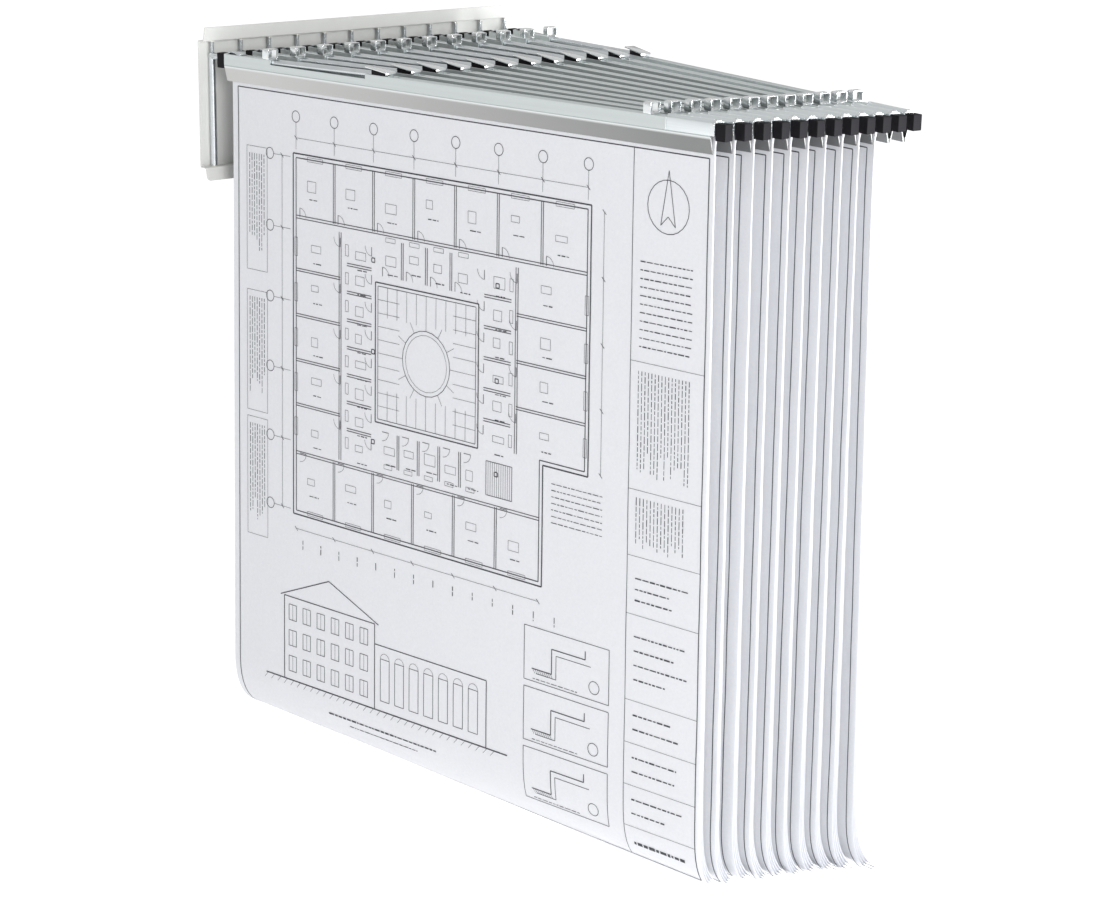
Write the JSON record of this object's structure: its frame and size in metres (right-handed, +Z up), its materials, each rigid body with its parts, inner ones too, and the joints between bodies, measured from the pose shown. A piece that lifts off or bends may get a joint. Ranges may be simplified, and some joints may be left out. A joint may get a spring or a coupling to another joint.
{
  "type": "plan hanging rack",
  "caption": "Wall rack for large plan sheets: sheet-steel bracket with sprung pivot hangers whose arms carry sliding aluminium hanging clamps.",
  "frame": {"origin": "on the wall, in the middle of the four wall holes", "axes": "+X along the wall, +Y into the wall, +Z up; the hangers point to -Y"},
  "size_m": [0.598, 0.9734, 1.1152],
  "materials": {
    "painted_steel": "satin light warm grey paint",
    "bright_steel": "bright zinc plating",
    "spring_steel": "bright zinc plating",
    "aluminium": "satin anodised",
    "fittings": "bright zinc plating, with black plastic end caps",
    "bush_plastic": "natural white",
    "plan_paper": "uncoated white with dark grey line work"
  },
  "bodies": {
    "bracket": {"wall_bracket": "painted_steel", "top_bushes": "bush_plastic", "bottom_bushes": "bush_plastic", "pivot_springs": "spring_steel"},
    "hanger_01": {"pivot_arm_01": "bright_steel"},
    "clamp_01": {"clamp_jaws_01": "aluminium", "clamp_fittings_01": "fittings", "plan_sheets_01": "plan_paper"},
    "hanger_02": {"pivot_arm_02": "bright_steel"},
    "clamp_02": {"clamp_jaws_02": "aluminium", "clamp_fittings_02": "fittings", "plan_sheets_02": "plan_paper"},
    "hanger_03": {"pivot_arm_03": "bright_steel"},
    "clamp_03": {"clamp_jaws_03": "aluminium", "clamp_fittings_03": "fittings", "plan_sheets_03": "plan_paper"},
    "hanger_04": {"pivot_arm_04": "bright_steel"},
    "clamp_04": {"clamp_jaws_04": "aluminium", "clamp_fittings_04": "fittings", "plan_sheets_04": "plan_paper"},
    "hanger_05": {"pivot_arm_05": "bright_steel"},
    "clamp_05": {"clamp_jaws_05": "aluminium", "clamp_fittings_05": "fittings", "plan_sheets_05": "plan_paper"},
    "hanger_06": {"pivot_arm_06": "bright_steel"},
    "clamp_06": {"clamp_jaws_06": "aluminium", "clamp_fittings_06": "fittings", "plan_sheets_06": "plan_paper"},
    "hanger_07": {"pivot_arm_07": "bright_steel"},
    "clamp_07": {"clamp_jaws_07": "aluminium", "clamp_fittings_07": "fittings", "plan_sheets_07": "plan_paper"},
    "hanger_08": {"pivot_arm_08": "bright_steel"},
    "clamp_08": {"clamp_jaws_08": "aluminium", "clamp_fittings_08": "fittings", "plan_sheets_08": "plan_paper"},
    "hanger_09": {"pivot_arm_09": "bright_steel"},
    "clamp_09": {"clamp_jaws_09": "aluminium", "clamp_fittings_09": "fittings", "plan_sheets_09": "plan_paper"},
    "hanger_10": {"pivot_arm_10": "bright_steel"},
    "clamp_10": {"clamp_jaws_10": "aluminium", "clamp_fittings_10": "fittings", "plan_sheets_10": "plan_paper"},
    "hanger_11": {"pivot_arm_11": "bright_steel"},
    "clamp_11": {"clamp_jaws_11": "aluminium", "clamp_fittings_11": "fittings"},
    "hanger_12": {"pivot_arm_12": "bright_steel"},
    "clamp_12": {"clamp_jaws_12": "aluminium", "clamp_fittings_12": "fittings"}
  },
  "joints": [
    {"name": "hanger_swing_01", "type": "hinge", "parent": "bracket", "child": "hanger_01", "pos_m": [-0.2794, -0.007, 0], "axis": [0, 0, 1], "range_deg": [-75, 0]},
    {"name": "clamp_slide_01", "type": "slide", "parent": "hanger_01", "child": "clamp_01", "axis": [0.0871, -0.996, 0.0175], "range_m": [0, 0.3]},
    {"name": "hanger_swing_02", "type": "hinge", "parent": "bracket", "child": "hanger_02", "pos_m": [-0.2286, -0.007, 0], "axis": [0, 0, 1], "range_deg": [-62.5, 0]},
    {"name": "clamp_slide_02", "type": "slide", "parent": "hanger_02", "child": "clamp_02", "axis": [0.0678, -0.9976, 0.0157], "range_m": [0, 0.3]},
    {"name": "hanger_swing_03", "type": "hinge", "parent": "bracket", "child": "hanger_03", "pos_m": [-0.1778, -0.007, 0], "axis": [0, 0, 1], "range_deg": [-50, 0]},
    {"name": "clamp_slide_03", "type": "slide", "parent": "hanger_03", "child": "clamp_03", "axis": [0.0485, -0.9987, 0.014], "range_m": [0, 0.3]},
    {"name": "hanger_swing_04", "type": "hinge", "parent": "bracket", "child": "hanger_04", "pos_m": [-0.127, -0.007, 0], "axis": [0, 0, 1], "range_deg": [-37.5, 0]},
    {"name": "clamp_slide_04", "type": "slide", "parent": "hanger_04", "child": "clamp_04", "axis": [0.0291, -0.9995, 0.0122], "range_m": [0, 0.3]},
    {"name": "hanger_swing_05", "type": "hinge", "parent": "bracket", "child": "hanger_05", "pos_m": [-0.0762, -0.007, 0], "axis": [0, 0, 1], "range_deg": [-25, 0]},
    {"name": "clamp_slide_05", "type": "slide", "parent": "hanger_05", "child": "clamp_05", "axis": [0.0098, -0.9999, 0.0105], "range_m": [0, 0.3]},
    {"name": "hanger_swing_06", "type": "hinge", "parent": "bracket", "child": "hanger_06", "pos_m": [-0.0254, -0.007, 0], "axis": [0, 0, 1], "range_deg": [-12.5, 0]},
    {"name": "clamp_slide_06", "type": "slide", "parent": "hanger_06", "child": "clamp_06", "axis": [-0.0096, -0.9999, 0.0087], "range_m": [0, 0.3]},
    {"name": "hanger_swing_07", "type": "hinge", "parent": "bracket", "child": "hanger_07", "pos_m": [0.0254, -0.007, 0], "axis": [0, 0, 1], "range_deg": [0, 12.5]},
    {"name": "clamp_slide_07", "type": "slide", "parent": "hanger_07", "child": "clamp_07", "axis": [-0.029, -0.9996, 0.007], "range_m": [0, 0.3]},
    {"name": "hanger_swing_08", "type": "hinge", "parent": "bracket", "child": "hanger_08", "pos_m": [0.0762, -0.007, 0], "axis": [0, 0, 1], "range_deg": [0, 25]},
    {"name": "clamp_slide_08", "type": "slide", "parent": "hanger_08", "child": "clamp_08", "axis": [-0.0483, -0.9988, 0.0052], "range_m": [0, 0.3]},
    {"name": "hanger_swing_09", "type": "hinge", "parent": "bracket", "child": "hanger_09", "pos_m": [0.127, -0.007, 0], "axis": [0, 0, 1], "range_deg": [0, 37.5]},
    {"name": "clamp_slide_09", "type": "slide", "parent": "hanger_09", "child": "clamp_09", "axis": [-0.0677, -0.9977, 0.0035], "range_m": [0, 0.3]},
    {"name": "hanger_swing_10", "type": "hinge", "parent": "bracket", "child": "hanger_10", "pos_m": [0.1778, -0.007, 0], "axis": [0, 0, 1], "range_deg": [0, 50]},
    {"name": "clamp_slide_10", "type": "slide", "parent": "hanger_10", "child": "clamp_10", "axis": [-0.087, -0.9962, 0.0017], "range_m": [0, 0.3]},
    {"name": "hanger_swing_11", "type": "hinge", "parent": "bracket", "child": "hanger_11", "pos_m": [0.2286, -0.007, 0], "axis": [0, 0, 1], "range_deg": [0, 62.5]},
    {"name": "clamp_slide_11", "type": "slide", "parent": "hanger_11", "child": "clamp_11", "axis": [-0.1063, -0.9943, 0], "range_m": [0, 0.3]},
    {"name": "hanger_swing_12", "type": "hinge", "parent": "bracket", "child": "hanger_12", "pos_m": [0.2794, -0.007, 0], "axis": [0, 0, 1], "range_deg": [0, 75]},
    {"name": "clamp_slide_12", "type": "slide", "parent": "hanger_12", "child": "clamp_12", "axis": [-0.1255, -0.9921, -0.0017], "range_m": [0, 0.3]}
  ],
  "couplings": [
    {"joint": "hanger_swing_02", "follows": "hanger_swing_01", "ratio": 0.83333},
    {"joint": "hanger_swing_03", "follows": "hanger_swing_01", "ratio": 0.66667},
    {"joint": "hanger_swing_04", "follows": "hanger_swing_01", "ratio": 0.5},
    {"joint": "hanger_swing_05", "follows": "hanger_swing_01", "ratio": 0.33333},
    {"joint": "hanger_swing_06", "follows": "hanger_swing_01", "ratio": 0.16667},
    {"joint": "hanger_swing_07", "follows": "hanger_swing_12", "ratio": 0.16667},
    {"joint": "hanger_swing_08", "follows": "hanger_swing_12", "ratio": 0.33333},
    {"joint": "hanger_swing_09", "follows": "hanger_swing_12", "ratio": 0.5},
    {"joint": "hanger_swing_10", "follows": "hanger_swing_12", "ratio": 0.66667},
    {"joint": "hanger_swing_11", "follows": "hanger_swing_12", "ratio": 0.83333}
  ]
}
